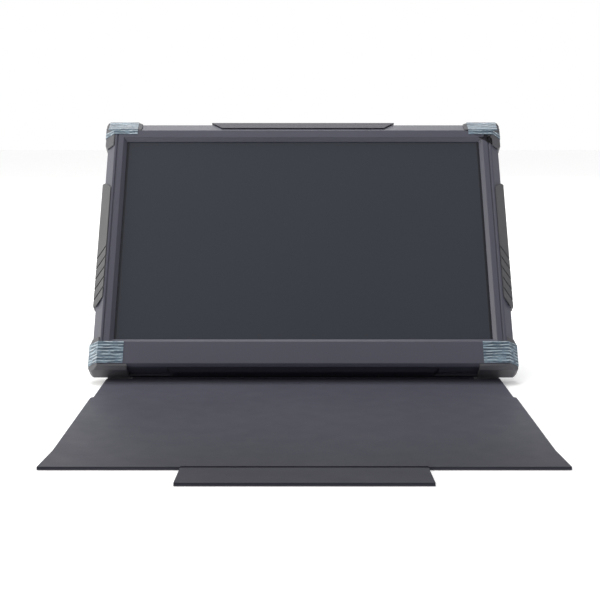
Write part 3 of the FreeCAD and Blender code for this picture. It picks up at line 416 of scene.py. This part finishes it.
def crease(name, half, line, thick):
    """A band of skin across X that follows a line of points, bent between two bodies."""
    bpy.ops.object.select_all(action="DESELECT")
    bpy.ops.mesh.primitive_grid_add(x_subdivisions=1, y_subdivisions=len(line) - 1, size=2.0)
    band = bpy.context.active_object
    band.name = name
    for vertex in band.data.vertices:
        step = round((vertex.co.y + 1) / 2 * (len(line) - 1))
        vertex.co = (vertex.co.x * half, line[step][0], line[step][1])
    wall = band.modifiers.new("wall", "SOLIDIFY")
    wall.thickness = thick
    wall.offset = 0
    bpy.ops.object.modifier_apply(modifier="wall")
    lip = band.modifiers.new("lip", "BEVEL")
    lip.width = thick * 0.2
    lip.segments = 2
    lip.limit_method = "ANGLE"
    lip.angle_limit = BEND_ANGLE
    bpy.ops.object.modifier_apply(modifier="lip")
    bpy.ops.object.mode_set(mode="EDIT")
    bpy.ops.mesh.select_all(action="SELECT")
    bpy.ops.mesh.normals_make_consistent(inside=False)
    bpy.ops.object.mode_set(mode="OBJECT")
    bpy.ops.object.shade_smooth_by_angle(angle=BEND_ANGLE)
    band.data.materials.append(cloth.material)
    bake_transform(band)


gap_half = 0.0008
full_thick = 0.0018
curl_thick = 0.0009
hinge_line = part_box("cover_spine_skin")[1][1] + gap_half
fold_line = (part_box("cover_spine_skin")[0][1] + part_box("cover_panel_skin")[1][1]) / 2
tab_line = (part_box("cover_panel_skin")[0][1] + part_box("cover_tab_skin")[1][1]) / 2
cover_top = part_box("cover_panel_lining")[1][2]
spine_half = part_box("cover_spine_skin")[1][0] - 0.0004
tab_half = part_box("tab_root_strip")[1][0] - 0.0004


def across_gap(middle):
    """Level points from inside one leaf to inside the next, a little below their tops."""
    reach = gap_half + INTO_LEAF
    level = cover_top / 2 - 0.0001
    return [(middle + reach - step * reach / 4, level) for step in range(9)]


crease("crease_fold", spine_half, across_gap(fold_line), full_thick)
crease("crease_tab", tab_half, across_gap(tab_line), full_thick)
curl_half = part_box("corner_foot_right")[0][0] - 0.0004
curl = [(hinge_line + 0.0024, 0.0056), (hinge_line + 0.0025, 0.0048), (hinge_line + 0.0026, 0.0038),
        (hinge_line + 0.0024, 0.0028), (hinge_line + 0.0018, 0.0018), (hinge_line + 0.0009, 0.0012),
        (hinge_line, 0.0011), (hinge_line - 0.0006, 0.0011), (hinge_line - 0.0012, 0.0011)]
crease("crease_rear", curl_half, curl, curl_thick)

# ---------------------------------------------------------------------------------------------
# Floor, light and camera. A pale studio floor under a sky that is brighter to the left and behind,
# with soft boxes at the left, above and behind, and the camera low in front of the screen.

bpy.ops.object.select_all(action="DESELECT")
bpy.ops.mesh.primitive_plane_add(size=12.0, location=(0, 0, -0.0002))
floor = bpy.context.active_object
floor.name = "studio_floor"
paper = Finish("studio_paper", 0.9)
paper.colour(tone(250, 250, 250))
paper.shader.inputs["Emission Color"].default_value = (1, 1, 1, 1)
paper.shader.inputs["Emission Strength"].default_value = 0.2
floor.data.materials.append(paper.material)

sky = bpy.data.worlds.new("studio_sky")
sky.use_nodes = True
nodes = sky.node_tree.nodes
links = sky.node_tree.links
direction = nodes.new("ShaderNodeTexCoord")
split = nodes.new("ShaderNodeSeparateXYZ")
links.new(direction.outputs["Generated"], split.inputs[0])
strength = None
for axis, at_low, at_high in (("Y", 0.36, 1.15), ("X", 1.5, 0.55)):
    fade = nodes.new("ShaderNodeMapRange")
    fade.inputs["From Min"].default_value = -1.0
    fade.inputs["From Max"].default_value = 1.0
    fade.inputs["To Min"].default_value = at_low
    fade.inputs["To Max"].default_value = at_high
    links.new(split.outputs[axis], fade.inputs["Value"])
    if strength is None:
        strength = fade
    else:
        product = nodes.new("ShaderNodeMath")
        product.operation = "MULTIPLY"
        links.new(strength.outputs[0], product.inputs[0])
        links.new(fade.outputs[0], product.inputs[1])
plain = nodes.new("ShaderNodeBackground")
seen = nodes.new("ShaderNodeLightPath")
either = nodes.new("ShaderNodeMixShader")
plain.inputs["Color"].default_value = (1, 1, 1, 1)
nodes["Background"].inputs["Color"].default_value = (1, 1, 1, 1)
links.new(product.outputs[0], nodes["Background"].inputs["Strength"])
links.new(seen.outputs["Is Camera Ray"], either.inputs["Fac"])
links.new(nodes["Background"].outputs[0], either.inputs[1])
links.new(plain.outputs[0], either.inputs[2])
links.new(either.outputs[0], nodes["World Output"].inputs["Surface"])
bpy.context.scene.world = sky
bpy.context.scene.view_settings.view_transform = "Standard"


def soft_light(name, place, size, power, tint=(1, 1, 1)):
    """A square soft box aimed at the middle of the screen."""
    light = bpy.data.lights.new(name, "AREA")
    light.size = size
    light.energy = power
    light.color = tint
    lamp = bpy.data.objects.new(name, light)
    bpy.context.collection.objects.link(lamp)
    lamp.location = place
    aim = Vector((0, 0.12, 0.12)) - Vector(place)
    lamp.rotation_euler = aim.to_track_quat("-Z", "Y").to_euler()


soft_light("left_box", (-1.9, -0.1, 0.75), 1.2, 18.0, (1.0, 0.97, 0.86))
soft_light("top_box", (-0.2, 0.7, 2.1), 1.3, 17.0)
soft_light("back_box", (-0.2, 2.6, 1.4), 1.8, 14.0)

lens = bpy.data.cameras.new("studio_camera")
lens.lens = 73.8
lens.sensor_width = 36.0
lens.clip_end = 50.0
camera = bpy.data.objects.new("studio_camera", lens)
bpy.context.collection.objects.link(camera)
camera.location = (-0.003, -1.0358, 0.2523)
camera.rotation_euler = (math.radians(81.0), 0, 0)
bpy.context.scene.camera = camera
